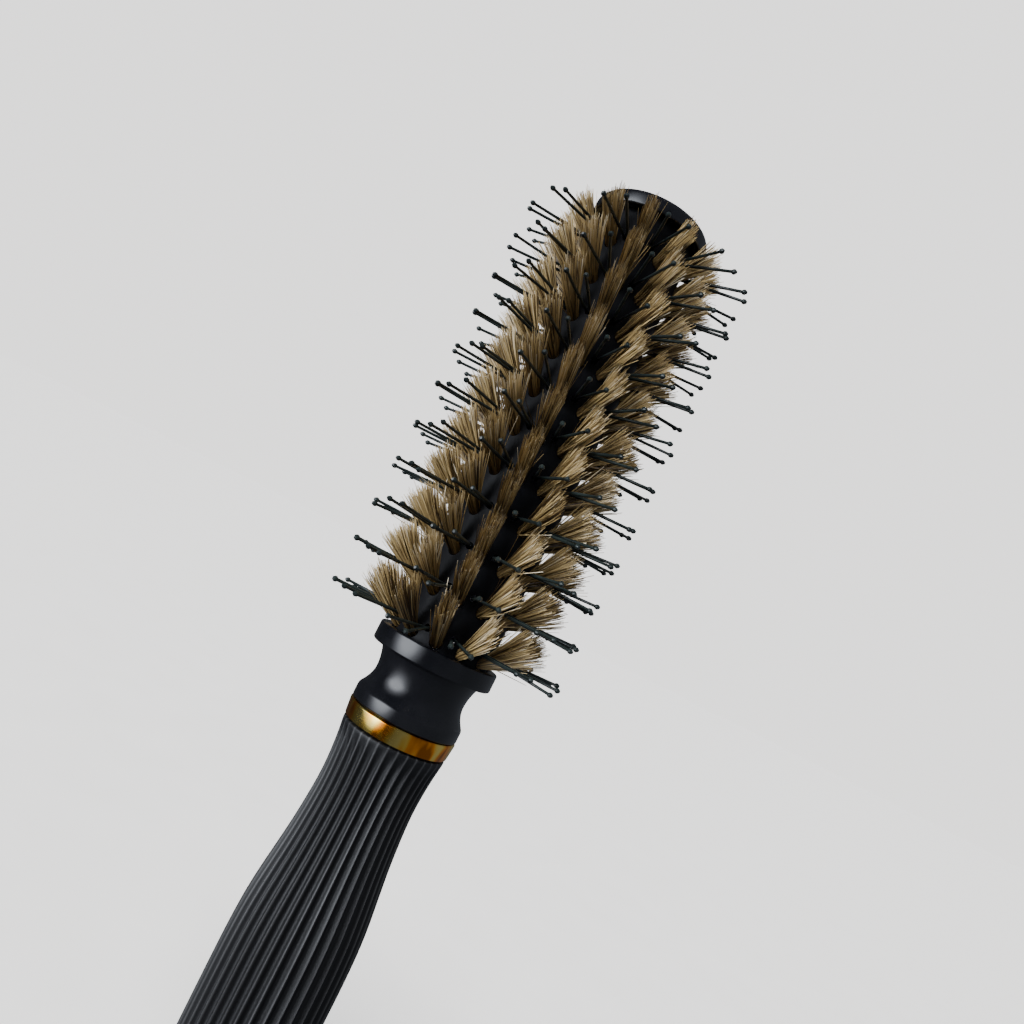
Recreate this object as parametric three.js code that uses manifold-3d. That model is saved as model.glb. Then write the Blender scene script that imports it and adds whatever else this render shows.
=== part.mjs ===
// Round barrel hair brush. A fluted soft grip on a hard core, a gold neck ring, a glossy
// collar, a drilled hollow barrel with straight rows of boar tufts and nylon pins, and an
// end cap, all clamped by one tie rod. Millimetres. +Z runs along the brush from the butt
// to the tip, and the origin is the middle of the flat butt face. Row 0 faces -Y.
import * as THREE from "three";
import { mergeVertices } from "three/addons/utils/BufferGeometryUtils.js";
import Module from "manifold-3d";

const wasm = await Module();
wasm.setup();

// ---- Driving dimensions ----

const CLEARANCE = 0.3; // between a piece and what it fits in, over or against
const SEAM = 0.3; // the joint line between two pieces that meet end to end

// Handle
const HANDLE_LENGTH = 122;
const GRIP_TOP_RADIUS = 11.5;
const GRIP_DIP_WALL = 2.3; // of the sleeve at its thinnest, from the core's clearance to the crests
const GRIP_DIP_BELOW_RING = 13;
const GRIP_RISE_RADIUS = 11.9;
const GRIP_RISE_BELOW_RING = 30;
const GRIP_SWELL_RADIUS = 13.3;
const GRIP_SWELL_BELOW_RING = 44;
const GRIP_TAIL_RADIUS = 12.4;
const GRIP_TAIL_ABOVE_BUTT = 12;
const BUTT_EDGE_RADIUS = 5;
const BUTT_WALL = 4.5;
const RIB_COUNT = 34;
const RIB_DEPTH = 0.7;
const RIB_RUN_OUT = 4; // the ribs fade into the plain edge over this length
const CORE_RADIUS = 8;

// Gold ring
const RING_HEIGHT = 3.9;
const RING_TOP_RADIUS = 12;
const RING_BOTTOM_RADIUS = 11.6;
const RING_BEVEL = 0.3;
const RING_WALL = 1.2;

// Collar
const NECK_LENGTH = 12.3; // from the ring to the flange
const BAND_RADIUS = 11.9;
const BAND_HEIGHT = 2.9;
const WAIST_RADIUS = 10.1;
const WAIST_ABOVE_RING = 7.3;
const NECK_TOP_RADIUS = 11.3;
const FLANGE_RADIUS = 13.5;
const FLANGE_HEIGHT = 4;
const FLANGE_CHAMFER = 0.45;
const TENON_RADIUS = 7;
const TENON_LENGTH = 7.7;

// Barrel and end cap
const BARREL_RADIUS = 11;
const BARREL_WALL = 2;
const BARREL_SEAT = 1; // how deep the barrel's ends sit in the collar and the cap
const CAP_RADIUS = 13.5;
const CAP_HEIGHT = 3.8;
const CAP_EDGE_RADIUS = 1.2;
const BOSS_RADIUS = 4.5;
const BOSS_LENGTH = 8;
const BARE_END = 4; // bare barrel between the reach of the last tufts and the cap

// Tie rod
const ROD_RADIUS = 2;
const ROD_IN_HANDLE = 36;
const ROD_IN_BOSS = 6;

// Bristle field
const ROWS = 12; // of tufts, with a row of pins midway between each two
const RINGS = 11;
const PITCH = 9.1;
const PIN_AFTER_TUFT = 1.8; // how far each ring of pins is on the tip side of its tufts

const TUFT_ROOT_RADIUS = 1.2;
const TUFT_LENGTH = 11.5;
const END_TUFT_LENGTH = 9;
const TUFT_LEAN = THREE.MathUtils.degToRad(44);
const TUFT_FAN = THREE.MathUtils.degToRad(13); // half of the spread along the brush
const TUFT_TIP_HALF_WIDTH = 1.7;
const TUFT_WIRE_THICKNESS = 0.6;
const TUFT_WIRE_BELOW_BORE = 1.5;

const PIN_RADIUS = 0.33;
const PIN_BALL_RADIUS = 0.58;
const PIN_BALL_LENGTH = 0.95;
const PIN_TIP_RADIUS = 26.5; // from the brush's axis to the end of a pin
const PIN_WIRE_THICKNESS = 0.5;

// Facets
const ROUND = 28;
const TUFT_SIDES = 6;
const PIN_SIDES = 4;

// ---- Places worked out from them ----

const ROW_ANGLE = (2 * Math.PI) / ROWS;
const BORE_RADIUS = BARREL_RADIUS - BARREL_WALL;
const ROD_HOLE_RADIUS = ROD_RADIUS + CLEARANCE;
const SEAT_RADIUS = BARREL_RADIUS + CLEARANCE;

const ringBottom = HANDLE_LENGTH;
const collarBottom = ringBottom + RING_HEIGHT;
const flangeBottom = collarBottom + NECK_LENGTH;
const flangeTop = flangeBottom + FLANGE_HEIGHT;

// A tuft's root is a hexagon with its flats across the brush.
const rootHalfHeight = TUFT_ROOT_RADIUS * Math.cos(Math.PI / TUFT_SIDES);
const firstTuft = flangeTop + rootHalfHeight + CLEARANCE;
const lastTuft = firstTuft + (RINGS - 1) * PITCH;

// The cap stays clear of the last tufts where they lean out past its rim.
const endTuft = tuftTip(END_TUFT_LENGTH);
const endTuftSlope =
  (endTuft.forwardEdge.y - rootHalfHeight) / (endTuft.forwardEdge.x - BARREL_RADIUS);
const capBottom =
  lastTuft + rootHalfHeight + (CAP_RADIUS - BARREL_RADIUS) * endTuftSlope + BARE_END;
const capTop = capBottom + CAP_HEIGHT;
const capSeat = capBottom + BARREL_SEAT;
const collarSeat = flangeTop - BARREL_SEAT;
const tenonTop = collarBottom + TENON_LENGTH;
const bossBottom = capSeat - BOSS_LENGTH;

// Where a tuft's tips end, as (distance from the axis, height above its root's middle):
// the middle of the fan, its edge on the tip side, and half its thickness.
function tuftTip(length) {
  const middle = new THREE.Vector2(
    BARREL_RADIUS + length * Math.cos(TUFT_LEAN),
    length * Math.sin(TUFT_LEAN),
  );
  const halfThickness = length * Math.tan(TUFT_FAN);
  const across = new THREE.Vector2(-Math.sin(TUFT_LEAN), Math.cos(TUFT_LEAN));
  const forwardEdge = middle.clone().addScaledVector(across, halfThickness);
  return { middle, across, halfThickness, forwardEdge };
}

// ---- Materials ----

function finish(color, roughness, metalness) {
  return new THREE.MeshStandardMaterial({ color, roughness, metalness });
}
const softBlack = finish(0x2a2a2c, 0.7, 0);
const glossBlack = finish(0x0c0d11, 0.15, 0);
const corePlastic = finish(0x3a3a3d, 0.5, 0);
const gold = finish(0xd9a035, 0.15, 1);
const steel = finish(0x9a9da2, 0.35, 1);
const boar = finish(0x9c7a48, 0.75, 0);
const nylon = finish(0x14191a, 0.35, 0);

// ---- Shape helpers ----

// A body turned about Z from [radius, height] points, which run outwards and up round the
// solid, either from axis to axis or round a closed loop.
function turned(profile, segments = ROUND) {
  const points = profile.map(([radius, height]) => new THREE.Vector2(radius, height));
  return new THREE.LatheGeometry(points, segments).rotateX(Math.PI / 2);
}

// The quarter round from a vertical side in to a flat end, side first. The arc's centre is
// inside both, and end is +1 for a top and -1 for a bottom.
function roundedEdge(sideRadius, endHeight, edge, end, steps) {
  const points = [];
  for (let i = 0; i <= steps; i++) {
    const angle = ((Math.PI / 2) * i) / steps;
    const radius = sideRadius - edge + edge * Math.cos(angle);
    points.push([radius, endHeight - end * edge * (1 - Math.sin(angle))]);
  }
  return points;
}

// A closed mesh as a manifold solid, and back.
function solidOf(geometry) {
  const bare = new THREE.BufferGeometry();
  bare.setAttribute("position", geometry.getAttribute("position"));
  bare.setIndex(geometry.index);
  const merged = mergeVertices(bare, 1e-4);
  const vertProperties = merged.getAttribute("position").array;
  const triVerts = new Uint32Array(merged.index.array);
  return new wasm.Manifold(new wasm.Mesh({ numProp: 3, vertProperties, triVerts }));
}

function geometryOf(solid) {
  const { vertProperties, triVerts } = solid.getMesh();
  const geometry = new THREE.BufferGeometry();
  geometry.setAttribute("position", new THREE.BufferAttribute(vertProperties, 3));
  geometry.setIndex(new THREE.BufferAttribute(triVerts, 1));
  return geometry;
}

function joined(geometries) {
  return geometryOf(wasm.Manifold.union(geometries.map(solidOf)));
}

// A lathe along +Y becomes a spoke that points along -Y, the way row 0 faces.
function asSpoke(geometry, height) {
  return geometry.rotateX(Math.PI).translate(0, 0, height);
}

const brush = new THREE.Group();

function add(name, geometry, material, angle = 0) {
  const mesh = new THREE.Mesh(geometry, material);
  mesh.name = name;
  mesh.rotation.z = angle;
  brush.add(mesh);
}

// ---- Handle ----

function handleCore() {
  const shoulderRadius = RING_BOTTOM_RADIUS - RING_WALL - CLEARANCE;
  return turned([
    [0, BUTT_WALL + CLEARANCE],
    [CORE_RADIUS, BUTT_WALL + CLEARANCE],
    [CORE_RADIUS, ringBottom + SEAM / 2],
    [shoulderRadius, ringBottom + SEAM / 2],
    [shoulderRadius, collarBottom - SEAM / 2],
    [TENON_RADIUS, collarBottom - SEAM / 2],
    [TENON_RADIUS, tenonTop],
    [ROD_HOLE_RADIUS, tenonTop],
    [ROD_HOLE_RADIUS, collarBottom - ROD_IN_HANDLE - CLEARANCE],
    [0, collarBottom - ROD_IN_HANDLE - CLEARANCE],
  ]);
}

// The grip's outline over the ribs' crests, from the butt's edge up to the ring.
function gripOutline() {
  const top = HANDLE_LENGTH - SEAM / 2;
  const dipRadius = CORE_RADIUS + CLEARANCE + GRIP_DIP_WALL;
  const crest = new THREE.CatmullRomCurve3([
    new THREE.Vector3(GRIP_TAIL_RADIUS, GRIP_TAIL_ABOVE_BUTT, 0),
    new THREE.Vector3(GRIP_SWELL_RADIUS, HANDLE_LENGTH - GRIP_SWELL_BELOW_RING, 0),
    new THREE.Vector3(GRIP_RISE_RADIUS, HANDLE_LENGTH - GRIP_RISE_BELOW_RING, 0),
    new THREE.Vector3(dipRadius, HANDLE_LENGTH - GRIP_DIP_BELOW_RING, 0),
    new THREE.Vector3(GRIP_TOP_RADIUS, top, 0),
  ]);
  const edge = roundedEdge(GRIP_TAIL_RADIUS, 0, BUTT_EDGE_RADIUS, -1, 3).reverse();
  return [...edge, ...crest.getPoints(16).map(({ x, y }) => [x, y])];
}

// Every second line of the lathe is drawn in to make the valley between two ribs.
function gripSleeve() {
  const outline = gripOutline();
  const top = outline.at(-1)[1];
  const cavity = CORE_RADIUS + CLEARANCE;
  const profile = [[0, 0], ...outline, [cavity, top], [cavity, BUTT_WALL], [0, BUTT_WALL]];
  const points = profile.map(([radius, height]) => new THREE.Vector2(radius, height));
  const lathe = new THREE.LatheGeometry(points, 2 * RIB_COUNT);
  const position = lathe.getAttribute("position");
  for (let line = 1; line < 2 * RIB_COUNT; line += 2) {
    for (let point = 1; point <= outline.length; point++) {
      const vertex = line * profile.length + point;
      const [radius, height] = profile[point];
      const toEdge = Math.min(top - height, height);
      const depth = RIB_DEPTH * Math.min(1, toEdge / RIB_RUN_OUT);
      const scale = (radius - depth) / radius;
      position.setX(vertex, position.getX(vertex) * scale);
      position.setZ(vertex, position.getZ(vertex) * scale);
    }
  }
  return lathe.rotateX(Math.PI / 2);
}

function neckRing() {
  const inside = RING_BOTTOM_RADIUS - RING_WALL;
  const bottom = ringBottom + SEAM / 2;
  const top = collarBottom - SEAM / 2;
  return turned([
    [inside, bottom],
    [RING_BOTTOM_RADIUS, bottom],
    [RING_TOP_RADIUS, top - RING_BEVEL],
    [RING_TOP_RADIUS - RING_BEVEL, top],
    [inside, top],
    [inside, bottom],
  ]);
}

// ---- Collar ----

// One side of the waist's hollow, from its narrowest place out to an edge.
function waistSide(edgeRadius, edgeHeight, steps) {
  const middle = collarBottom + WAIST_ABOVE_RING;
  const points = [];
  for (let i = 0; i <= steps; i++) {
    const t = i / steps;
    const radius = WAIST_RADIUS + (edgeRadius - WAIST_RADIUS) * t ** 1.8;
    points.push([radius, middle + (edgeHeight - middle) * t]);
  }
  return points;
}

function collar() {
  const bottom = collarBottom + SEAM / 2;
  const socket = TENON_RADIUS + CLEARANCE;
  const socketTop = tenonTop + CLEARANCE;
  const lower = waistSide(BAND_RADIUS, collarBottom + BAND_HEIGHT, 5).reverse();
  const upper = waistSide(NECK_TOP_RADIUS, flangeBottom, 4);
  return turned([
    [socket, bottom],
    [BAND_RADIUS, bottom],
    ...lower,
    ...upper.slice(1),
    [FLANGE_RADIUS - FLANGE_CHAMFER, flangeBottom],
    [FLANGE_RADIUS, flangeBottom + FLANGE_CHAMFER],
    [FLANGE_RADIUS, flangeTop - FLANGE_CHAMFER],
    [FLANGE_RADIUS - FLANGE_CHAMFER, flangeTop],
    [SEAT_RADIUS, flangeTop],
    [SEAT_RADIUS, collarSeat],
    [ROD_HOLE_RADIUS, collarSeat],
    [ROD_HOLE_RADIUS, socketTop],
    [socket, socketTop],
    [socket, bottom],
  ]);
}

// ---- Barrel, end cap and tie rod ----

// A drill through the barrel's wall for one tuft or pin.
function drill(radius, sides, height, angle) {
  const length = 2 * BARREL_WALL;
  const bit = new THREE.CylinderGeometry(radius, radius, length, sides);
  bit.translate(0, BORE_RADIUS + BARREL_WALL / 2, 0);
  return asSpoke(bit, height).rotateZ(angle);
}

// The tube has two flats to each row, so each row's holes lie along the middle of a flat.
function barrel() {
  const bottom = collarSeat + CLEARANCE;
  const top = capSeat - CLEARANCE;
  const tube = turned(
    [
      [BORE_RADIUS, bottom],
      [BARREL_RADIUS, bottom],
      [BARREL_RADIUS, top],
      [BORE_RADIUS, top],
      [BORE_RADIUS, bottom],
    ],
    2 * ROWS,
  ).rotateZ(ROW_ANGLE / 4);
  const tuftHole = TUFT_ROOT_RADIUS + CLEARANCE;
  const pinHole = PIN_RADIUS + CLEARANCE;
  const drills = [];
  for (let row = 0; row < ROWS; row++) {
    for (let ring = 0; ring < RINGS; ring++) {
      const height = firstTuft + ring * PITCH;
      const angle = row * ROW_ANGLE;
      drills.push(drill(tuftHole, TUFT_SIDES, height, angle));
      const pinHeight = height + PIN_AFTER_TUFT;
      drills.push(drill(pinHole, PIN_SIDES, pinHeight, angle + ROW_ANGLE / 2));
    }
  }
  const holes = wasm.Manifold.union(drills.map(solidOf));
  return geometryOf(solidOf(tube).subtract(holes));
}

function endCap() {
  const blindTop = bossBottom + ROD_IN_BOSS + CLEARANCE;
  return turned([
    [0, blindTop],
    [ROD_HOLE_RADIUS, blindTop],
    [ROD_HOLE_RADIUS, bossBottom],
    [BOSS_RADIUS, bossBottom],
    [BOSS_RADIUS, capSeat],
    [SEAT_RADIUS, capSeat],
    [SEAT_RADIUS, capBottom],
    [CAP_RADIUS - FLANGE_CHAMFER, capBottom],
    [CAP_RADIUS, capBottom + FLANGE_CHAMFER],
    ...roundedEdge(CAP_RADIUS, capTop, CAP_EDGE_RADIUS, 1, 3),
    [0, capTop],
  ]);
}

function tieRod() {
  const bottom = collarBottom - ROD_IN_HANDLE;
  const top = bossBottom + ROD_IN_BOSS;
  const rod = new THREE.CylinderGeometry(ROD_RADIUS, ROD_RADIUS, top - bottom, 16);
  return rod.rotateX(Math.PI / 2).translate(0, 0, (top + bottom) / 2);
}

// ---- Bristle rows ----

// A flat drawing wire inside the bore, that a row's filaments are folded over. Its outer
// face is at outerRadius, and it runs past the first and last root by overrun.
function drawingWire(width, thickness, outerRadius, first, last, overrun) {
  const length = last - first + 2 * overrun;
  const wire = new THREE.BoxGeometry(width, thickness, length);
  return wire.translate(0, thickness / 2 - outerRadius, (first + last) / 2);
}

// One tuft for the row that faces -Y: a straight root through the wall, and beyond the
// barrel a fan that leans towards the tip.
function tuft(length, wireFace, height) {
  const points = [
    [0, wireFace - TUFT_WIRE_THICKNESS / 2],
    [TUFT_ROOT_RADIUS, wireFace - TUFT_WIRE_THICKNESS / 2],
    [TUFT_ROOT_RADIUS, BARREL_RADIUS],
    [TUFT_ROOT_RADIUS, BARREL_RADIUS + length],
    [0, BARREL_RADIUS + length],
  ].map(([radius, out]) => new THREE.Vector2(radius, out));
  const lathe = new THREE.LatheGeometry(points, TUFT_SIDES, Math.PI / TUFT_SIDES);
  const { middle, across, halfThickness } = tuftTip(length);
  const position = lathe.getAttribute("position");
  for (let i = 0; i < position.count; i++) {
    if (position.getY(i) < BARREL_RADIUS + length / 2) continue;
    const sideways = position.getX(i) / TUFT_ROOT_RADIUS;
    const forward = -position.getZ(i) / TUFT_ROOT_RADIUS;
    const tip = middle.clone().addScaledVector(across, forward * halfThickness);
    position.setXYZ(i, sideways * TUFT_TIP_HALF_WIDTH, tip.x, -tip.y);
  }
  return asSpoke(lathe, height);
}

function tuftRow() {
  const wireFace = BORE_RADIUS - TUFT_WIRE_BELOW_BORE;
  const wireBack = wireFace - TUFT_WIRE_THICKNESS;
  const halfRow = Math.PI / ROWS;
  const width = 2 * (wireBack * Math.tan(halfRow) - CLEARANCE / 2 / Math.cos(halfRow));
  const pieces = [
    drawingWire(width, TUFT_WIRE_THICKNESS, wireFace, firstTuft, lastTuft, TUFT_ROOT_RADIUS),
  ];
  for (let ring = 0; ring < RINGS; ring++) {
    const length = ring === RINGS - 1 ? END_TUFT_LENGTH : TUFT_LENGTH;
    pieces.push(tuft(length, wireFace, firstTuft + ring * PITCH));
  }
  return joined(pieces);
}

function pin(wireFace, height) {
  const points = [
    [0, wireFace - PIN_WIRE_THICKNESS / 2],
    [PIN_RADIUS, wireFace - PIN_WIRE_THICKNESS / 2],
    [PIN_RADIUS, PIN_TIP_RADIUS - PIN_BALL_LENGTH],
    [PIN_BALL_RADIUS, PIN_TIP_RADIUS - PIN_BALL_RADIUS],
    [0, PIN_TIP_RADIUS],
  ].map(([radius, out]) => new THREE.Vector2(radius, out));
  return asSpoke(new THREE.LatheGeometry(points, PIN_SIDES), height);
}

// The pins' wire lies against the bore, in the space that the tufts' roots leave.
function pinRow() {
  const wireFace = BORE_RADIUS * Math.cos(ROW_ANGLE / 4) - CLEARANCE;
  const wireBack = wireFace - PIN_WIRE_THICKNESS;
  const halfRow = Math.PI / ROWS;
  const room = wireBack * Math.sin(halfRow) - TUFT_ROOT_RADIUS - CLEARANCE;
  const first = firstTuft + PIN_AFTER_TUFT;
  const last = lastTuft + PIN_AFTER_TUFT;
  const width = (2 * room) / Math.cos(halfRow);
  const pieces = [drawingWire(width, PIN_WIRE_THICKNESS, wireFace, first, last, PIN_RADIUS)];
  for (let ring = 0; ring < RINGS; ring++) pieces.push(pin(wireFace, first + ring * PITCH));
  return joined(pieces);
}

// ---- The brush ----

add("handle_core", handleCore(), corePlastic);
add("grip_sleeve", gripSleeve(), softBlack);
add("neck_ring", neckRing(), gold);
add("collar", collar(), glossBlack);
add("barrel", barrel(), glossBlack);
add("end_cap", endCap(), glossBlack);
add("tie_rod", tieRod(), steel);

const tuftRowShape = tuftRow();
const pinRowShape = pinRow();
for (let row = 0; row < ROWS; row++) {
  const number = String(row + 1).padStart(2, "0");
  add(`boar_row_${number}`, tuftRowShape, boar, row * ROW_ANGLE);
  add(`pin_row_${number}`, pinRowShape, nylon, (row + 0.5) * ROW_ANGLE);
}

export default brush;
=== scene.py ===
# %% [markdown]
# # A round barrel brush
# A salon brush has a soft fluted grip, a gold ring, a glossy collar, and a black barrel
# with rows of boar hair and nylon pins. The solid model from the CAD step fixes where
# everything is. This script loads it, then builds the surfaces that people see and touch:
# true curves in place of flats, single hairs in place of solid tufts, and real finishes.

# %% Load the frame
from math import cos, pi, radians, sin

import bpy
import numpy as np
from mathutils import Matrix, Vector


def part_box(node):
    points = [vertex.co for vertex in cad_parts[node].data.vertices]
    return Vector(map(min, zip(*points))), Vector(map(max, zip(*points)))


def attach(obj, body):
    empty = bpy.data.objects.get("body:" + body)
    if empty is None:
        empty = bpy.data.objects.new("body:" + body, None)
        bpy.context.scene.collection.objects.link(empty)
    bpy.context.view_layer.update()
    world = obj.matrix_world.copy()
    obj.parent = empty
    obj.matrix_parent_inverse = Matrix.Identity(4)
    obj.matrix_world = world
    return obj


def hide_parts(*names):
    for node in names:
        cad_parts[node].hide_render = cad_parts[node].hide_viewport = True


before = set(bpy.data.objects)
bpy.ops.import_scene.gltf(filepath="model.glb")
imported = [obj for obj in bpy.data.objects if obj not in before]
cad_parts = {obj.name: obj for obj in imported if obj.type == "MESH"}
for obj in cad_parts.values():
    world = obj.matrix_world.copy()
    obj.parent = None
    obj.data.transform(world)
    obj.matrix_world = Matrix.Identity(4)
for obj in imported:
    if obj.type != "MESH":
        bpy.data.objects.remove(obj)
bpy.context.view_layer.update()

# %% [markdown]
# ## Places
# Blender works in metres, and this brush is thought of in millimetres, so `MM` turns one
# into the other. Every place below is read from the frame's own boxes. That way the looks
# still fit if the solid model is made again at another size.

# %% Places along the brush and round it
MM = 0.001
grip_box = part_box("grip_sleeve")
ring_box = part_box("neck_ring")
collar_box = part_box("collar")
barrel_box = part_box("barrel")
cap_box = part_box("end_cap")
pin_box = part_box("pin_row_01")

ROWS = 12
RINGS = 11
row_angle = 2 * pi / ROWS
barrel_radius = barrel_box[1].x / cos(row_angle / 4)  # the solid's flats lie inside it
barrel_wall = 2 * MM
flange_top = collar_box[1].z

pin_ball = 0.58 * MM
pin_after_tuft = 1.8 * MM
first_pin = pin_box[0].z + pin_ball
pitch = (pin_box[1].z - pin_box[0].z - 2 * pin_ball) / (RINGS - 1)
first_tuft = first_pin - pin_after_tuft
pin_reach = 26.5 * MM
print("barrel radius", round(barrel_radius / MM, 2), "pitch", round(pitch / MM, 3))

# %% [markdown]
# ## Two ways to make a round piece
# Most of the brush is round. A *turned* piece starts as an outline, drawn with extruded
# points, that Spin carries once round the axis, as wood is turned on a lathe. A *drawn-up*
# piece starts as a disc, whose face is extruded and resized from station to station, which
# keeps the corners in straight lines up the piece. Ribs and hairs need those lines.

# %% Helpers for selecting and for turning
def only(piece):
    """Selects this piece alone, so that an operator acts on nothing else."""
    if bpy.context.object and bpy.context.object.mode != "OBJECT":
        bpy.ops.object.mode_set(mode="OBJECT")
    bpy.ops.object.select_all(action="DESELECT")
    piece.select_set(True)
    bpy.context.view_layer.objects.active = piece


def start(name, add, **sizes):
    """Adds a primitive and leaves it open in edit mode with all of it selected."""
    if bpy.context.object and bpy.context.object.mode != "OBJECT":
        bpy.ops.object.mode_set(mode="OBJECT")
    bpy.ops.object.select_all(action="DESELECT")
    add(**sizes)
    piece = bpy.context.object
    piece.name = piece.data.name = name
    only(piece)
    bpy.ops.object.transform_apply(location=True, rotation=True, scale=True)
    bpy.ops.object.mode_set(mode="EDIT")
    bpy.ops.mesh.select_mode(type="VERT")
    bpy.ops.mesh.select_all(action="SELECT")
    return piece


def closed(piece, merge=0.002 * MM):
    """Merges corners that coincide, points every face outwards and leaves edit mode."""
    bpy.ops.mesh.select_all(action="SELECT")
    bpy.ops.mesh.remove_doubles(threshold=merge)
    bpy.ops.mesh.normals_make_consistent(inside=False)
    bpy.ops.object.mode_set(mode="OBJECT")
    return piece


def turned(name, outline, steps=144):
    """Spins an outline of (radius, height) points once round the brush's axis."""
    first = outline[0]
    piece = start(name, bpy.ops.mesh.primitive_plane_add, size=MM,
                  location=(first[0], 0, first[1]))
    bpy.ops.mesh.merge(type="CENTER")
    for here, there in zip(outline, outline[1:]):
        step = (there[0] - here[0], 0, there[1] - here[1])
        bpy.ops.mesh.extrude_region_move(TRANSFORM_OT_translate={"value": step})
    bpy.ops.mesh.select_all(action="SELECT")
    bpy.ops.mesh.spin(steps=steps, angle=2 * pi, center=(0, 0, 0), axis=(0, 0, 1))
    return closed(piece)


# %% Helper for drawing up
def drawn_up(name, sides, stations):
    """Extrudes a disc's face through (radius, height) stations, resizing it at each."""
    radius, height = stations[0]
    piece = start(name, bpy.ops.mesh.primitive_circle_add, vertices=sides, radius=radius,
                  fill_type="NGON", location=(0, 0, height))
    bpy.ops.mesh.select_mode(type="FACE")
    for here, there in zip(stations, stations[1:]):
        rise = (0, 0, there[1] - here[1])
        bpy.ops.mesh.extrude_region_move(TRANSFORM_OT_translate={"value": rise})
        share = there[0] / here[0]
        bpy.ops.transform.resize(value=(share, share, 1), center_override=(0, 0, there[1]))
    return closed(piece)


def bevelled(piece, width, segments=3, angle=radians(35)):
    """Rounds a piece's sharp edges, as a mould or a polishing wheel leaves them."""
    only(piece)
    rounding = piece.modifiers.new("rounding", "BEVEL")
    rounding.width = width
    rounding.segments = segments
    rounding.limit_method = "ANGLE"
    rounding.angle_limit = angle
    bpy.ops.object.modifier_apply(modifier=rounding.name)
    return piece


def smooth(piece, angle=radians(35)):
    """Shades a piece smooth, but for edges sharper than the angle."""
    only(piece)
    bpy.ops.object.shade_smooth_by_angle(angle=angle)
    return piece


def seat(piece, slot, *nodes):
    """Fixes a finished piece to the frame, in place of the solids it stands for."""
    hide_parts(*nodes)
    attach(piece, "root")
    faces = len(piece.data.polygons)
    print(piece.name, "has", faces, "faces and stands for", nodes[0], "to", nodes[-1])


# %% [markdown]
# ## Surface finishes
# Every finish is a Principled shader fed by a little noise. Black plastic is never one
# flat black: moulding leaves a faint orange peel, handling leaves dull patches, and dust
# sits on top. The noise reads Object coordinates, so it stays fixed to the piece.

# %% Helpers for finishes
def new_finish(name):
    """An empty material with its Principled shader, and its nodes and links."""
    material = bpy.data.materials.new(name)
    material.use_nodes = True
    nodes, links = material.node_tree.nodes, material.node_tree.links
    return material, nodes["Principled BSDF"], nodes, links


def noise_at(nodes, links, scale, detail=3.0, stretch=(1, 1, 1)):
    """Noise on the piece's own coordinates: scale is in features per metre."""
    place = nodes.new("ShaderNodeTexCoord")
    mapping = nodes.new("ShaderNodeMapping")
    mapping.inputs["Scale"].default_value = stretch
    noise = nodes.new("ShaderNodeTexNoise")
    noise.inputs["Scale"].default_value = scale
    noise.inputs["Detail"].default_value = detail
    links.new(place.outputs["Object"], mapping.inputs["Vector"])
    links.new(mapping.outputs["Vector"], noise.inputs["Vector"])
    return noise


def ramp_of(nodes, links, source, stops):
    """A colour ramp with (place, colour) stops, driven by a source socket."""
    ramp = nodes.new("ShaderNodeValToRGB")
    elements = ramp.color_ramp.elements
    while len(elements) < len(stops):
        elements.new(0.5)
    for element, (place, colour) in zip(elements, stops):
        element.position = place
        element.color = (*colour, 1)
    links.new(source, ramp.inputs["Fac"])
    return ramp


def spread(nodes, links, source, low, high):
    """A value socket that runs from low to high as the source runs over its noise."""
    spreader = nodes.new("ShaderNodeMapRange")
    spreader.inputs["From Min"].default_value = 0.3
    spreader.inputs["From Max"].default_value = 0.7
    spreader.inputs["To Min"].default_value = low
    spreader.inputs["To Max"].default_value = high
    links.new(source, spreader.inputs["Value"])
    return spreader.outputs["Result"]


def bump(nodes, links, source, shader, depth, strength=1.0):
    """Raises the surface by depth, in metres, where the source is bright."""
    node = nodes.new("ShaderNodeBump")
    node.inputs["Strength"].default_value = strength
    node.inputs["Distance"].default_value = depth
    links.new(source, node.inputs["Height"])
    links.new(node.outputs["Normal"], shader.inputs["Normal"])
    return node


# %% Glossy black moulding
def glossy_black():
    material, shader, nodes, links = new_finish("glossy_black")
    peel = noise_at(nodes, links, 900, 2)
    mottle = noise_at(nodes, links, 160, 4)
    colour = ramp_of(nodes, links, mottle.outputs["Fac"],
                     [(0.3, (0.0030, 0.0033, 0.0046)), (0.75, (0.0070, 0.0074, 0.0092))])
    links.new(colour.outputs["Color"], shader.inputs["Base Color"])
    links.new(spread(nodes, links, mottle.outputs["Fac"], 0.15, 0.25),
              shader.inputs["Roughness"])
    bump(nodes, links, peel.outputs["Fac"], shader, 0.006 * MM, 0.4)
    return material


# %% Satin black barrel
def satin_black():
    material, shader, nodes, links = new_finish("satin_black")
    peel = noise_at(nodes, links, 700, 3)
    dusty = noise_at(nodes, links, 240, 4)
    colour = ramp_of(nodes, links, dusty.outputs["Fac"],
                     [(0.3, (0.0028, 0.0030, 0.0038)), (0.75, (0.0062, 0.0064, 0.0075))])
    links.new(colour.outputs["Color"], shader.inputs["Base Color"])
    links.new(spread(nodes, links, dusty.outputs["Fac"], 0.34, 0.5),
              shader.inputs["Roughness"])
    bump(nodes, links, peel.outputs["Fac"], shader, 0.006 * MM, 0.4)
    shader.inputs["Specular IOR Level"].default_value = 0.09
    return material


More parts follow.
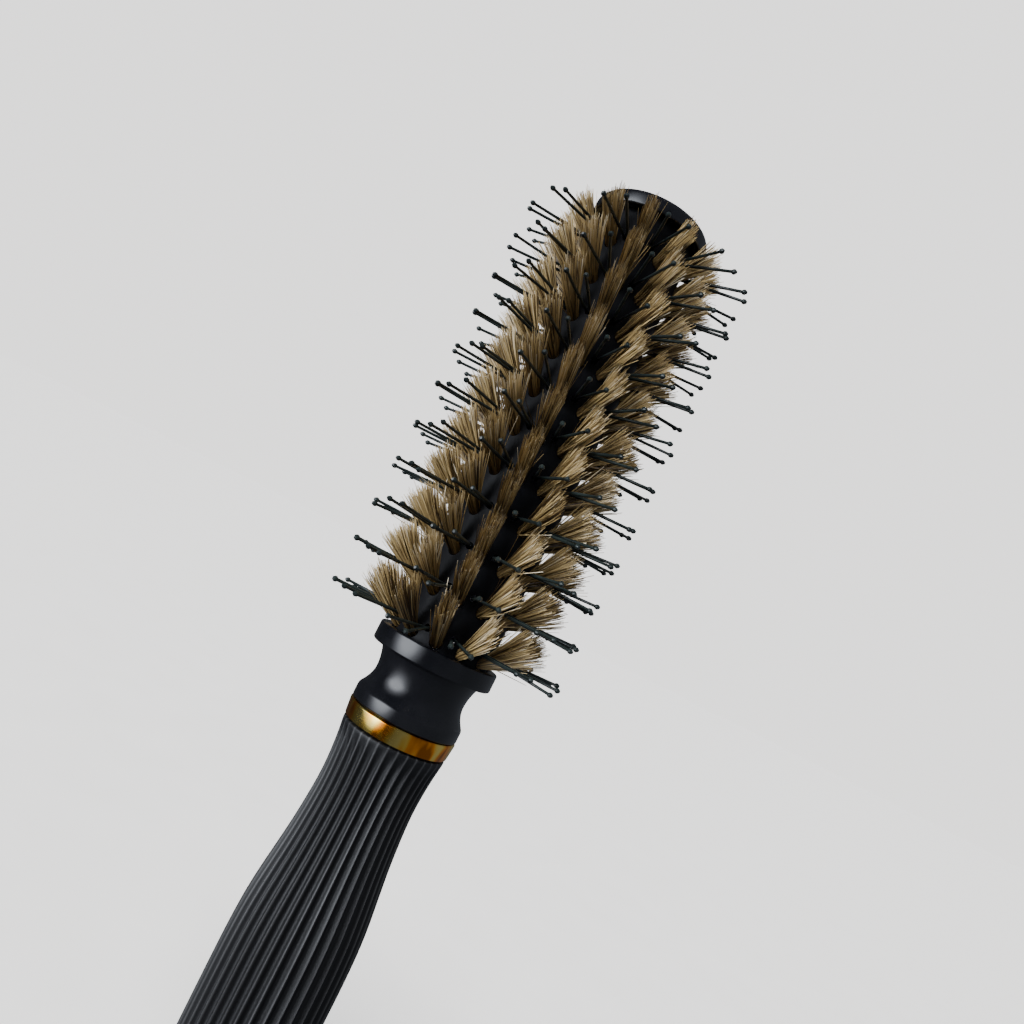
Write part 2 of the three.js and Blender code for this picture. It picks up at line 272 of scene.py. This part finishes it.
# %% Soft-touch rubber
def soft_rubber():
    material, shader, nodes, links = new_finish("soft_rubber")
    grain = noise_at(nodes, links, 2600, 3)
    dusty = noise_at(nodes, links, 90, 5, stretch=(1, 1, 0.25))
    # The rib crests are lighter in the colour ramp below. This is partly wear from hands and
    # partly a painted highlight along every crest. Roughness is also lower there, where hands
    # polish the crests.
    crest_wear_and_highlight = nodes.new("ShaderNodeAttribute")
    crest_wear_and_highlight.attribute_name = "crest_wear_and_highlight"
    mottle = nodes.new("ShaderNodeMath")
    mottle.operation = "MULTIPLY"
    links.new(crest_wear_and_highlight.outputs["Fac"], mottle.inputs[0])
    links.new(spread(nodes, links, dusty.outputs["Fac"], 0.55, 1.0), mottle.inputs[1])
    colour = ramp_of(nodes, links, mottle.outputs["Value"],
                     [(0.1, (0.0050, 0.0052, 0.0060)), (0.9, (0.046, 0.047, 0.050))])
    links.new(colour.outputs["Color"], shader.inputs["Base Color"])
    polish = nodes.new("ShaderNodeMapRange")
    polish.inputs["To Min"].default_value = 0.52
    polish.inputs["To Max"].default_value = 0.36
    links.new(mottle.outputs["Value"], polish.inputs["Value"])
    links.new(polish.outputs["Result"], shader.inputs["Roughness"])
    bump(nodes, links, grain.outputs["Fac"], shader, 0.02 * MM, 0.35)
    shader.inputs["Specular IOR Level"].default_value = 0.42
    return material


# %% Polished gold
def polished_gold():
    material, shader, nodes, links = new_finish("polished_gold")
    brushed = noise_at(nodes, links, 500, 4, stretch=(1, 1, 8))
    # Colour patches round the ring, from dark red-brown through orange to pale yellow, are
    # painted reflections laid into the gold's colour.
    painted_reflection_patches = noise_at(nodes, links, 260, 2, stretch=(1, 1, 0.3))
    colour = ramp_of(nodes, links, painted_reflection_patches.outputs["Fac"],
                     [(0.34, (0.42, 0.13, 0.015)), (0.42, (1.0, 0.34, 0.03)),
                      (0.5, (1.0, 0.62, 0.10)), (0.62, (1.0, 0.80, 0.24))])
    links.new(colour.outputs["Color"], shader.inputs["Base Color"])
    links.new(spread(nodes, links, brushed.outputs["Fac"], 0.14, 0.24),
              shader.inputs["Roughness"])
    bump(nodes, links, brushed.outputs["Fac"], shader, 0.004 * MM, 0.4)
    shader.inputs["Metallic"].default_value = 1.0
    return material


# %% Nylon, boar hair and the hidden materials
def black_nylon():
    material, shader, nodes, links = new_finish("black_nylon")
    drawn = noise_at(nodes, links, 160, 2)
    colour = ramp_of(nodes, links, drawn.outputs["Fac"],
                     [(0.3, (0.008, 0.012, 0.012)), (0.75, (0.016, 0.023, 0.022))])
    links.new(colour.outputs["Color"], shader.inputs["Base Color"])
    links.new(spread(nodes, links, drawn.outputs["Fac"], 0.26, 0.34),
              shader.inputs["Roughness"])
    return material


def boar_hair():
    material, shader, nodes, links = new_finish("boar_hair")
    tone = nodes.new("ShaderNodeAttribute")
    tone.attribute_name = "tone"
    colour = ramp_of(nodes, links, tone.outputs["Fac"], [
        (0.0, (0.014, 0.008, 0.003)),
        (0.25, (0.070, 0.042, 0.015)),
        (0.5, (0.240, 0.165, 0.066)),
        (0.78, (0.470, 0.350, 0.165)),
        (1.0, (0.72, 0.65, 0.50)),
    ])
    links.new(colour.outputs["Color"], shader.inputs["Base Color"])
    scales = noise_at(nodes, links, 1800, 2)
    links.new(spread(nodes, links, scales.outputs["Fac"], 0.3, 0.48),
              shader.inputs["Roughness"])
    shader.inputs["Specular IOR Level"].default_value = 0.45
    return material


def plain_moulding():
    material, shader, nodes, links = new_finish("core_moulding")
    grain = noise_at(nodes, links, 400, 3)
    colour = ramp_of(nodes, links, grain.outputs["Fac"],
                     [(0.3, (0.035, 0.035, 0.038)), (0.7, (0.055, 0.055, 0.06))])
    links.new(colour.outputs["Color"], shader.inputs["Base Color"])
    shader.inputs["Roughness"].default_value = 0.5
    return material


def drawn_steel():
    material, shader, nodes, links = new_finish("drawn_steel")
    lines = noise_at(nodes, links, 900, 3, stretch=(1, 1, 0.05))
    colour = ramp_of(nodes, links, lines.outputs["Fac"],
                     [(0.3, (0.5, 0.51, 0.53)), (0.7, (0.66, 0.67, 0.69))])
    links.new(colour.outputs["Color"], shader.inputs["Base Color"])
    shader.inputs["Metallic"].default_value = 1.0
    shader.inputs["Roughness"].default_value = 0.35
    return material


gloss = glossy_black()
satin = satin_black()
rubber = soft_rubber()
gold = polished_gold()
nylon = black_nylon()
hair_finish = boar_hair()

# %% [markdown]
# ## The fluted grip
# The grip is a soft sleeve with thirty-four rounded ribs that run its whole length. It is
# drawn up as one column whose corners are six to a rib: one on the crest, two on its
# shoulders, and three across the valley. Selecting the same corner of every rib and
# resizing those towards the axis cuts all the valleys at once. Subdivision then rounds
# ribs and outline together, as a rubber mould does.

# %% Draw up the grip
RIBS = 34
CORNERS = 6
rib_depth = 1.05 * MM
usual_radius = 12 * MM  # the depth of a valley is worked out at this radius
grip_top = grip_box[1].z
cavity_radius = 8.3 * MM
cavity_floor = 4.5 * MM
butt_round = 5 * MM

# The outline over the crests, as (radius, height above the butt).
outline_marks = [
    (12.4, 12), (12.9, 41), (13.35, 70), (13.3, 79), (12.95, 85), (12.1, 92),
    (11.35, 98), (10.85, 104), (10.6, 109), (10.75, 113.5), (11.15, 118),
    (11.5, grip_top / MM),
]


def through(marks, height):
    """The radius at a height on a smooth curve through the marks, all in millimetres."""
    heights = [mark[1] for mark in marks]
    place = int(np.clip(np.searchsorted(heights, height) - 1, 0, len(marks) - 2))
    before, here = marks[max(place - 1, 0)], marks[place]
    there, after = marks[place + 1], marks[min(place + 2, len(marks) - 1)]
    gap = there[1] - here[1]
    t = (height - here[1]) / gap
    slope_here = (there[0] - before[0]) / (there[1] - before[1]) * gap
    slope_there = (after[0] - here[0]) / (after[1] - here[1]) * gap
    return (here[0] * (2 * t**3 - 3 * t**2 + 1) + slope_here * (t**3 - 2 * t**2 + t)
            + there[0] * (3 * t**2 - 2 * t**3) + slope_there * (t**3 - t**2))


tail_radius = outline_marks[0][0] * MM
butt = []
for quarter in range(0, 7):
    turn = pi / 2 * quarter / 6
    butt.append((tail_radius - butt_round * (1 - sin(turn)), butt_round * (1 - cos(turn))))
sides = []
for height in np.arange(7.5, grip_top / MM - 1.2, 3.0):
    radius = outline_marks[0][0] if height < 12 else through(outline_marks, height)
    sides.append((radius * MM, height * MM))
lip = 0.25 * MM
rim_radius = outline_marks[-1][0] * MM
rim = [(rim_radius, grip_top - 3 * lip), (rim_radius, grip_top - lip),
       (rim_radius - lip, grip_top), (cavity_radius + lip, grip_top),
       (cavity_radius, grip_top - lip), (cavity_radius, cavity_floor + lip),
       (cavity_radius, cavity_floor)]
grip = drawn_up("fluted_grip", RIBS * CORNERS, [(2 * MM, 0), *butt, *sides, *rim])
print("grip drawn through", len(butt) + len(sides) + len(rim) + 1, "stations")

# %% Cut the valleys
# How deep each corner of a rib goes: the crest, its shoulder, and two across the valley.
corner_depths = [0.0, 0.5, 0.97, 1.0]


def rib_corners(piece):
    """Each corner's place, and how many corners round it is from the nearest crest."""
    places = np.empty(3 * len(piece.data.vertices))
    piece.data.vertices.foreach_get("co", places)
    places = places.reshape(-1, 3)
    turns = np.arctan2(places[:, 1], places[:, 0]) / (2 * pi) * RIBS * CORNERS
    across = np.rint(turns).astype(int) % CORNERS
    return places, np.minimum(across, CORNERS - across)


def press_valleys(piece, low, high, share):
    """Draws in the corners between crests, for corners whose height is in the range."""
    only(piece)
    places, from_crest = rib_corners(piece)
    outside = np.hypot(places[:, 0], places[:, 1]) > 1.1 * cavity_radius
    in_range = outside & (places[:, 2] >= low) & (places[:, 2] <= high)
    for corner, depth in enumerate(corner_depths):
        if depth == 0:
            continue
        bpy.ops.object.mode_set(mode="EDIT")
        bpy.ops.mesh.select_all(action="DESELECT")
        bpy.ops.object.mode_set(mode="OBJECT")
        piece.data.vertices.foreach_set("select", in_range & (from_crest == corner))
        bpy.ops.object.mode_set(mode="EDIT")
        drawn_in = 1 - share * depth * rib_depth / usual_radius
        bpy.ops.transform.resize(value=(drawn_in, drawn_in, 1), center_override=(0, 0, 0))
        bpy.ops.object.mode_set(mode="OBJECT")


run_out = 3.5 * MM
press_valleys(grip, butt_round * 0.8, grip_top - run_out, 1.0)
press_valleys(grip, butt_round * 0.25, butt_round * 0.8 - 1e-6, 0.5)
press_valleys(grip, grip_top - run_out + 1e-6, grip_top - 4 * lip, 0.7)

# Marks the rib crests, which the rubber finish makes lighter: partly wear, partly a painted
# highlight.
crest_wear_and_highlight_layer = grip.data.attributes.new("crest_wear_and_highlight", "FLOAT", "POINT")
crest_wear_and_highlight_layer.data.foreach_set("value", (rib_corners(grip)[1] == 0).astype(np.float32))
only(grip)
rounder = grip.modifiers.new("rounder", "SUBSURF")
rounder.levels = rounder.render_levels = 1
bpy.ops.object.modifier_apply(modifier=rounder.name)
smooth(grip, radians(60))
grip.data.materials.append(rubber)
seat(grip, "soft_grip", "grip_sleeve")

# %% [markdown]
# ## The gold ring
# A thin band that hides the joint between the rubber and the collar. It widens slightly
# towards the collar, and its edges are polished round, which is what catches a line of
# light. It is turned as a closed outline, and a Bevel modifier rounds the edges. The
# solids leave a joint line open at the collar, and ring and collar both grow into it.

# %% Turn the gold ring
joint_cover = 0.12 * MM
ring_inside = 10.4 * MM
ring_bottom, ring_top = ring_box[0].z, ring_box[1].z + joint_cover
ring_low_radius, ring_high_radius = 11.6 * MM, 12 * MM
gold_ring = turned("gold_ring", [
    (ring_inside, ring_bottom), (ring_low_radius, ring_bottom),
    (ring_high_radius, ring_top - 0.35 * MM), (ring_high_radius - 0.3 * MM, ring_top),
    (ring_inside, ring_top), (ring_inside, ring_bottom),
])
bevelled(gold_ring, 0.16 * MM, 3, radians(20))
smooth(gold_ring)
gold_ring.data.materials.append(gold)
seat(gold_ring, "gold", "neck_ring")

# %% [markdown]
# ## The collar
# The collar is one glossy moulding: a straight band over the ring, a hollow waist where a
# finger and thumb turn the brush, and a flange that the barrel sits in. The waist is a
# smooth curve, so its points come from a formula. The flange's edges are bevelled.

# %% Turn the collar
ring_joint = collar_box[0].z - joint_cover
waist_radius, waist_height = 10.1 * MM, ring_joint + 7.15 * MM
band_radius, band_top = 11.9 * MM, ring_joint + 2.75 * MM
neck_radius, flange_bottom = 11.3 * MM, flange_top - 4 * MM
flange_radius = collar_box[1].x
seat_radius = barrel_radius + 0.3 * MM
seat_floor = flange_top - MM
socket_radius, socket_top = 7.3 * MM, ring_joint + 7.85 * MM
rod_hole = 2.3 * MM
waist_fullness = 1.9  # 2 would be a plain parabola


def hollow(edge_radius, edge_height, steps=14):
    """The waist's curve from its narrowest place out to an edge."""
    points = []
    for i in range(steps + 1):
        t = i / steps
        radius = waist_radius + (edge_radius - waist_radius) * t**waist_fullness
        points.append((radius, waist_height + (edge_height - waist_height) * t))
    return points


collar = turned("collar_moulding", [
    (socket_radius, ring_joint), (band_radius, ring_joint),
    *reversed(hollow(band_radius, band_top)), *hollow(neck_radius, flange_bottom)[1:],
    (flange_radius, flange_bottom), (flange_radius, flange_top),
    (seat_radius, flange_top), (seat_radius, seat_floor), (rod_hole, seat_floor),
    (rod_hole, socket_top), (socket_radius, socket_top), (socket_radius, ring_joint),
])
bevelled(collar, 0.42 * MM, 4)
smooth(collar)
collar.data.materials.append(gloss)
seat(collar, "gloss_black", "collar")

# %% [markdown]
# ## The end cap
# The cap closes the barrel and covers the end of the tie rod. Its outer face is very
# slightly domed, so that light slides over it, and its rim is rounded for the scalp.

# %% Turn the end cap
cap_bottom_of_skirt = cap_box[1].z - 3.8 * MM
cap_top, cap_radius = cap_box[1].z, cap_box[1].x
cap_seat = cap_bottom_of_skirt + MM
boss_radius, boss_bottom = 4.5 * MM, cap_box[0].z
blind_top = boss_bottom + 6.3 * MM
cap_edge = 1.2 * MM
flat = cap_radius - cap_edge
edge = [(flat + cap_edge * cos(t), cap_top - 0.25 * MM - cap_edge * (1 - sin(t)))
        for t in np.linspace(0, pi / 2, 9)]
dome = [(flat * (1 - i / 6), cap_top - 0.25 * MM * (1 - i / 6) ** 3) for i in range(1, 7)]
cap = turned("cap_moulding", [
    (0, blind_top), (rod_hole, blind_top), (rod_hole, boss_bottom),
    (boss_radius, boss_bottom), (boss_radius, cap_seat), (seat_radius, cap_seat),
    (seat_radius, cap_bottom_of_skirt), (cap_radius, cap_bottom_of_skirt), *edge, *dome,
])
bevelled(cap, 0.4 * MM, 3, radians(50))
smooth(cap)
cap.data.materials.append(gloss)
seat(cap, "gloss_black", "end_cap")

# %% [markdown]
# ## The drilled barrel
# The barrel is a tube with one hole for each tuft and each group of pins. The drills are
# cylinders that stand out from the axis, all in one mesh, and a Boolean modifier takes
# them away from the tube in one cut, as a drilling jig would.

# %% Turn the barrel and drill it
tuft_hole, pin_hole = 1.45 * MM, 0.8 * MM
bore_radius = barrel_radius - barrel_wall
barrel_bottom, barrel_top = barrel_box[0].z, barrel_box[1].z
tube = turned("barrel_tube", [
    (bore_radius, barrel_bottom), (barrel_radius, barrel_bottom),
    (barrel_radius, barrel_top), (bore_radius, barrel_top), (bore_radius, barrel_bottom),
], steps=192)


def outward(angle):
    """The way a row faces: row 0 faces -Y, and the rows go round towards +X."""
    return Vector((sin(angle), -cos(angle), 0))


def field():
    """The row, ring, angle and height of every tuft's root."""
    for row in range(ROWS):
        for ring in range(RINGS):
            yield row, ring, row * row_angle, first_tuft + ring * pitch


drills = start("drills", bpy.ops.mesh.primitive_cylinder_add, vertices=8, radius=MM,
               depth=MM)
bpy.ops.mesh.delete(type="VERT")
for row, ring, angle, height in field():
    for turn, up, radius, sides_of_drill in (
        (angle, height, tuft_hole, 20),
        (angle + row_angle / 2, height + pin_after_tuft, pin_hole, 16),
    ):
        way = outward(turn)
        middle = way * (barrel_radius - barrel_wall / 2) + Vector((0, 0, up))
        lie = way.to_track_quat("Z", "X").to_euler()
        bpy.ops.mesh.primitive_cylinder_add(
            vertices=sides_of_drill, radius=radius, depth=2 * barrel_wall,
            location=middle, rotation=lie)
bpy.ops.object.mode_set(mode="OBJECT")
only(tube)
cut = tube.modifiers.new("cut", "BOOLEAN")
cut.operation = "DIFFERENCE"
cut.object = drills
cut.solver = "EXACT"
bpy.ops.object.modifier_apply(modifier=cut.name)
bpy.data.objects.remove(drills)
smooth(tube, radians(30))
tube.data.materials.append(satin)
seat(tube, "gloss_black", "barrel")

# %% [markdown]
# ## Nylon pins
# A pin is a stiff filament with a melted ball at its end, folded in half in its hole, so
# that two legs stand out side by side. One pin is drawn up and then copied. The copies are
# placed with numpy: each keeps the pin's own corners, set along its own slightly bent
# line, and each row's pins become one mesh.

# %% Helper that copies a shape many times into one mesh
def many(name, shape, places):
    """One object that holds a shape once for each array of corner places."""
    corners = len(shape.vertices)
    copies = len(places)
    loops = np.array([loop.vertex_index for loop in shape.loops])
    starts = np.array([face.loop_start for face in shape.polygons])
    mesh = bpy.data.meshes.new(name)
    mesh.vertices.add(corners * copies)
    mesh.vertices.foreach_set("co", np.concatenate(places).astype(np.float32).ravel())
    shift = np.arange(copies)[:, None]
    mesh.loops.add(len(loops) * copies)
    mesh.loops.foreach_set("vertex_index", (loops + corners * shift).ravel())
    mesh.polygons.add(len(starts) * copies)
    mesh.polygons.foreach_set("loop_start", (starts + len(loops) * shift).ravel())
    mesh.update(calc_edges=True)
    mesh.validate()
    piece = bpy.data.objects.new(name, mesh)
    bpy.context.collection.objects.link(piece)
    return piece


def along(shape_corners, line, width=1.0):
    """A shape whose heights count the line's points, bent to follow that line."""
    step = np.rint(shape_corners[:, 2]).astype(int)
    lift = shape_corners[:, 2] - step
    ways = np.gradient(line, axis=0)
    ways /= np.linalg.norm(ways, axis=1)[:, None]
    side = np.cross(ways, (0.31, 0.17, 0.93))
    side /= np.linalg.norm(side, axis=1)[:, None]
    other = np.cross(ways, side)
    flat = shape_corners[:, :2] * width
    return (line[step] + ways[step] * lift[:, None]
            + side[step] * flat[:, :1] + other[step] * flat[:, 1:])


# %% Draw up one pin and set the rows
pin_thick = 0.33 * MM
pin_profile = [(0.9, 0), (1, 1), (1, 2), (1, 3), (0.95, 4), (1.55, 5), (1.75, 6), (0.75, 7)]
pin_model = drawn_up("pin_model", 8, [(pin_thick * wide, high) for wide, high in pin_profile])
pin_corners = np.array([vertex.co[:] for vertex in pin_model.data.vertices])
pin_shape = pin_model.data
chance = np.random.default_rng(7)

# How far along the pin each point is, from inside the hole to the end of the ball.
pin_root = bore_radius + 0.4 * MM
ball_long = 1.15 * MM
leg_apart, leg_higher = 0.3 * MM, 0.12 * MM  # from the middle of the hole to each leg


def pin_points(angle, height, splay, lift, bow):
    """Points along one pin that leaves the barrel at an angle and a height."""
    out, up = np.array(outward(angle)), np.array((0, 0, 1))
    across = np.cross(up, out)
    way = out * cos(splay) * cos(lift) + across * sin(splay) + up * sin(lift)
    reach = (pin_reach - barrel_radius) / (cos(splay) * cos(lift))
    shaft = [-(barrel_radius - pin_root), 0, reach * 0.33, reach * 0.66,
             reach - ball_long, reach - 0.8 * ball_long, reach - 0.42 * ball_long, reach]
    root = out * barrel_radius + up * height + across * (leg_apart * np.sign(splay))
    points = []
    for distance in shaft:
        bend = bow * max(distance, 0) ** 2 / reach
        points.append(root + way * distance + across * bend)
    return np.array(points)


for row in range(ROWS):
    angle = (row + 0.5) * row_angle
    places = []
    for ring in range(RINGS):
        height = first_pin + ring * pitch
        for leg in (-1, 1):
            splay = leg * radians(chance.uniform(5, 10))
            lift = radians(chance.normal(0, 2.2))
            bow = chance.normal(0, 0.02)
            points = pin_points(angle, height + leg * leg_higher, splay, lift, bow)
            places.append(along(pin_corners, points))
    pins = many(f"pins_{row + 1:02d}", pin_shape, places)
    smooth(pins, radians(50))
    pins.data.materials.append(nylon)
    seat(pins, "nylon_pin", f"pin_row_{row + 1:02d}")
bpy.data.objects.remove(pin_model)

# %% [markdown]
# ## Boar tufts
# Boar hair is thin, slightly curved and uneven in colour, from straw to dark brown. Each
# tuft leaves one round hole and fans out as it leans towards the tip. The outline of the
# fan is what the eye reads, so each hair's lean follows from where in the hole it stands:
# hairs on the tip side lean furthest. A few stray hairs go their own way.

# %% Draw up one hair
hair_thick = 0.115 * MM
hair_taper = [(1, 0), (1, 1), (0.95, 2), (0.8, 3), (0.45, 4)]
hair_model = drawn_up("hair_model", 3, [(hair_thick * wide, high) for wide, high in hair_taper])
hair_corners = np.array([vertex.co[:] for vertex in hair_model.data.vertices])
hair_shape = hair_model.data
hair_step = np.rint(hair_corners[:, 2]).astype(int)
print("one hair has", len(hair_shape.polygons), "faces")

# %% Grow the tufts row by row
HAIRS = 150
tuft_root = 1.2 * MM
tuft_length = 11.5 * MM
end_tuft_length = 9.8 * MM
mean_lean, fan_lean = radians(43), radians(14)
fan_side = radians(2)


def hair_line(angle, height, across_share, up_share, length, lean, side):
    """Points along one hair, from inside its hole out to its tip."""
    out, up = np.array(outward(angle)), np.array((0, 0, 1))
    across = np.cross(up, out)
    root = (out * barrel_radius + up * (height + up_share * tuft_root)
            + across * across_share * tuft_root)
    points = [root - out * barrel_wall * 0.8, root]
    for share, turn in ((0.3, 0.94), (0.36, 1.0), (0.34, 1.04)):
        way = (out * cos(lean * turn) * cos(side) + up * sin(lean * turn)
               + across * sin(side * turn))
        points.append(points[-1] + way * length * share)
    return np.array(points)


for row in range(ROWS):
    angle = row * row_angle
    places, tones = [], []
    for ring in range(RINGS):
        height = first_tuft + ring * pitch
        usual = end_tuft_length if ring == RINGS - 1 else tuft_length
        tuft_tone = chance.normal(0, 0.05)
        sway = radians(chance.normal(0, 1.3))
        for hair in range(HAIRS):
            turn, away = chance.uniform(0, 2 * pi), chance.uniform(0, 1) ** 0.5
            across_share, up_share = away * cos(turn), away * sin(turn)
            stray = chance.uniform() < 0.035
            loose = 4.0 if stray else 1.0
            lean = mean_lean + fan_lean * up_share + radians(chance.normal(0, 3.2)) * loose
            side = fan_side * across_share + sway + radians(chance.normal(0, 1.9)) * loose
            length = usual * (1 + chance.normal(0, 0.065))
            line = hair_line(angle, height, across_share, up_share, length, lean, side)
            places.append(along(hair_corners, line, chance.uniform(0.75, 1.2)))
            middle_tone = 0.28 if chance.uniform() < 0.3 else 0.72
            tone = np.clip(chance.normal(middle_tone, 0.12) + tuft_tone, 0.02, 0.92)
            # Some stray hairs are near white. They are pale hairs that also serve as painted
            # glints.
            if stray and chance.uniform() < 0.4:
                tone = 0.98
            # Each hair darkens towards its root. This is partly the paler tips that boar hair
            # has, and partly painted shade where the hairs crowd at the barrel.
            tones.append(np.clip(tone * (0.45 + 0.15 * hair_step), 0, 1))
    tufts = many(f"boar_tufts_{row + 1:02d}", hair_shape, places)
    tone_layer = tufts.data.attributes.new("tone", "FLOAT", "POINT")
    tone_layer.data.foreach_set("value", np.concatenate(tones).astype(np.float32))
    smooth(tufts, radians(80))
    tufts.data.materials.append(hair_finish)
    seat(tufts, "boar_bristle", f"boar_row_{row + 1:02d}")
bpy.data.objects.remove(hair_model)

# %% [markdown]
# ## The pieces that stay as they are
# The handle's core and the tie rod are inside, and their solids have the right shape
# already, so they only get a finish.

# %% Finish the inner pieces
for node, finish in (("handle_core", plain_moulding()), ("tie_rod", drawn_steel())):
    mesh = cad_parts[node].data
    mesh.materials.clear()
    mesh.materials.append(finish)

# %% [markdown]
# ## A plain studio
# The brush stands on a pale floor. One big soft window lights it from the left at eye
# level, and softer light comes from above and from the right. Gloss black shows whatever
# it reflects, so reflections see only a soft-edged window, painted on the walls of a dim
# room that is a little lighter on the right. The wall behind is as pale as the floor.

# %% Floor and walls
floor = start("floor", bpy.ops.mesh.primitive_plane_add, size=60)
bpy.ops.object.mode_set(mode="OBJECT")
floor_finish, floor_shader, floor_nodes, floor_links = new_finish("pale_floor")
speckle = noise_at(floor_nodes, floor_links, 30, 3)
floor_colour = ramp_of(floor_nodes, floor_links, speckle.outputs["Fac"],
                       [(0.3, (0.78, 0.775, 0.77)), (0.7, (0.81, 0.805, 0.80))])
floor_links.new(floor_colour.outputs["Color"], floor_shader.inputs["Base Color"])
floor_shader.inputs["Roughness"].default_value = 0.9
floor_shader.inputs["Specular IOR Level"].default_value = 0.1
floor_links.new(floor_colour.outputs["Color"], floor_shader.inputs["Emission Color"])
floor_shader.inputs["Emission Strength"].default_value = 0.9
floor.data.materials.append(floor_finish)
floor.visible_glossy = False
floor.visible_diffuse = False

world = bpy.data.worlds.new("studio")
bpy.context.scene.world = world
world.use_nodes = True
sky, sky_links = world.node_tree.nodes, world.node_tree.links
way_of = sky.new("ShaderNodeTexCoord")
parts_of = sky.new("ShaderNodeSeparateXYZ")
sky_links.new(way_of.outputs["Generated"], parts_of.inputs["Vector"])
wall = sky.new("ShaderNodeMapRange")
wall.inputs["From Min"].default_value = -0.3
wall.inputs["From Max"].default_value = 1.0
sky_links.new(parts_of.outputs["X"], wall.inputs["Value"])
wall_colour = ramp_of(sky, sky_links, wall.outputs["Result"],
                      [(0.0, (0.042, 0.044, 0.05)), (1.0, (0.20, 0.215, 0.245))])
window_way = sky.new("ShaderNodeVectorMath")
window_way.operation = "DOT_PRODUCT"
window_way.inputs[1].default_value = (-0.73, -0.68, 0.03)
sky_links.new(way_of.outputs["Generated"], window_way.inputs[0])
pane = ramp_of(sky, sky_links, window_way.outputs["Value"],
               [(0.82, (0.0, 0.0, 0.0)), (0.91, (1.9, 2.0, 2.2)), (0.975, (7.6, 8.0, 8.6))])
room = sky.new("ShaderNodeMix")
room.data_type = "RGBA"
room.blend_type = "ADD"
room.inputs["Factor"].default_value = 1.0
sky_links.new(wall_colour.outputs["Color"], room.inputs["A"])
sky_links.new(pane.outputs["Color"], room.inputs["B"])
seen = sky.new("ShaderNodeLightPath")
pick = sky.new("ShaderNodeMix")
pick.data_type = "RGBA"
pick.inputs["B"].default_value = (1.85, 1.83, 1.81, 1)
sky_links.new(seen.outputs["Is Camera Ray"], pick.inputs["Factor"])
sky_links.new(room.outputs["Result"], pick.inputs["A"])
sky_links.new(pick.outputs["Result"], sky["Background"].inputs["Color"])


# %% Soft lights
def soft_light(name, azimuth, elevation, spread_angle, strength, colour=(1, 1, 1)):
    """A far light as wide as the angle, left out of reflections: the walls do those."""
    turn, rise = radians(azimuth), radians(elevation)
    way = Vector((sin(turn) * cos(rise), -cos(turn) * cos(rise), sin(rise)))
    light = bpy.data.lights.new(name, "SUN")
    light.angle = radians(spread_angle)
    light.energy = strength
    light.color = colour
    lamp = bpy.data.objects.new(name, light)
    lamp.location = way
    lamp.rotation_euler = (-way).to_track_quat("-Z", "Y").to_euler()
    lamp.visible_glossy = False
    bpy.context.collection.objects.link(lamp)


soft_light("window", -47, 10, 14, 3.4, (0.99, 0.99, 1.0))
soft_light("ceiling", -5, 58, 22, 4.0, (1.0, 0.985, 0.955))
soft_light("right_fill", 80, 12, 60, 0.85, (0.92, 0.95, 1.0))

# %% [markdown]
# ## The camera
# The brush is seen from close by through a wide lens, so it is strongly foreshortened.
# The camera stands a hand's width and a half from the barrel, just above its first tufts,
# looks slightly up along it, and is rolled so that the brush leans.

# %% Place the camera
camera_data = bpy.data.cameras.new("camera")
camera_data.sensor_width = 36
camera_data.lens = 27.07
camera = bpy.data.objects.new("camera", camera_data)
bpy.context.collection.objects.link(camera)
round_the_brush = Matrix.Rotation(radians(5.5), 4, "Z")
stand = Matrix.Translation((0.75 * MM, -164.6 * MM, flange_top + 14.3 * MM))
look_up = Matrix.Rotation(radians(90 + 6.26), 4, "X")
roll = Matrix.Rotation(radians(26.74), 4, "Z")
camera.matrix_world = round_the_brush @ stand @ look_up @ roll
bpy.context.scene.camera = camera
